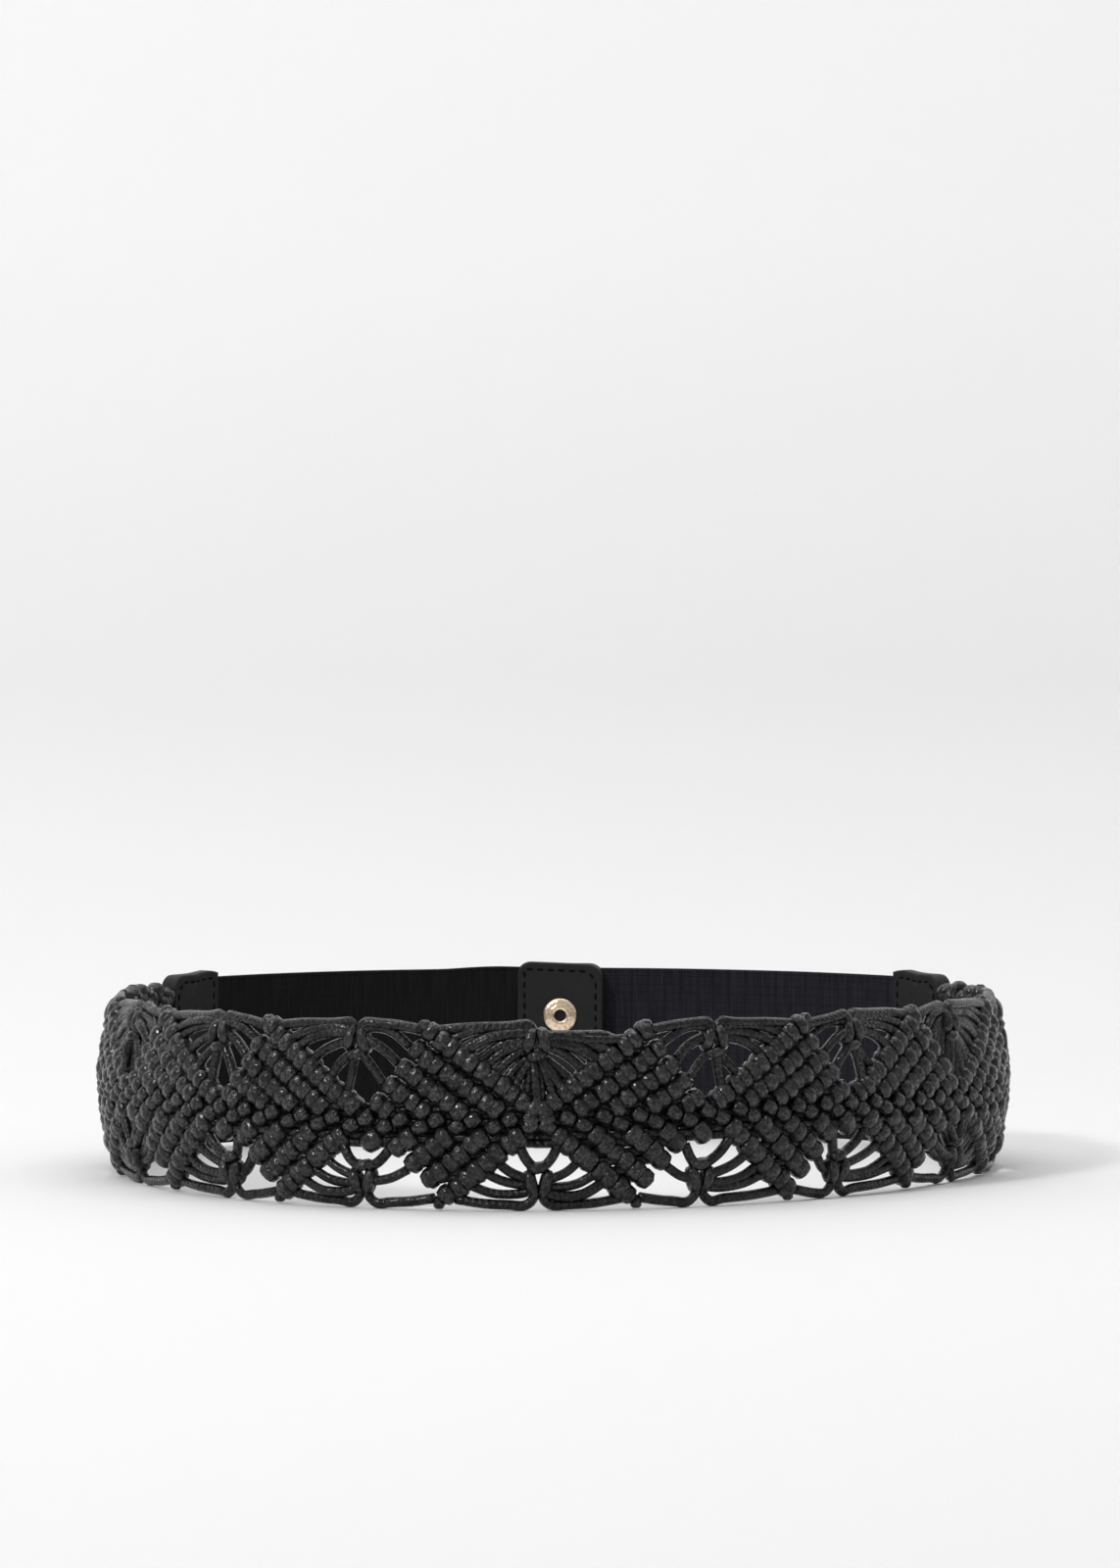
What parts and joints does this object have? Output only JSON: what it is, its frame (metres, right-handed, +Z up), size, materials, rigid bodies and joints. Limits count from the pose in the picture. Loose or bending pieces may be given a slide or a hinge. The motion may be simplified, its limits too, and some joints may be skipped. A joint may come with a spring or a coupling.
{
  "type": "stretch belt",
  "caption": "Stretch belt with a knotted macrame front of chevron diamonds, leather end tabs, a wide elastic back and a leather snap closure, standing as a loop.",
  "frame": {"origin": "on the surface, under the middle of the belt's bounding box", "axes": "+X across the loop to the viewer's right, +Y from the macrame front to the closure at the back, +Z up"},
  "size_m": [0.3168, 0.3026, 0.0643],
  "materials": {
    "waxed_cord": "waxed, soft sheen",
    "elastic_web": "matte ribbed weave",
    "leather": "matte, fine grain",
    "gold_metal": "pale gold plate, satin"
  },
  "bodies": {
    "root": {"macrame_panel": "waxed_cord", "elastic_left": "elastic_web", "elastic_right": "elastic_web", "end_tab_left": "leather", "end_tab_right": "leather", "closure_tab_inner": "leather", "closure_tab_outer": "leather", "snap_stud_upper": "gold_metal", "snap_stud_lower": "gold_metal", "snap_socket_upper": "gold_metal", "snap_socket_lower": "gold_metal"}
  },
  "joints": []
}
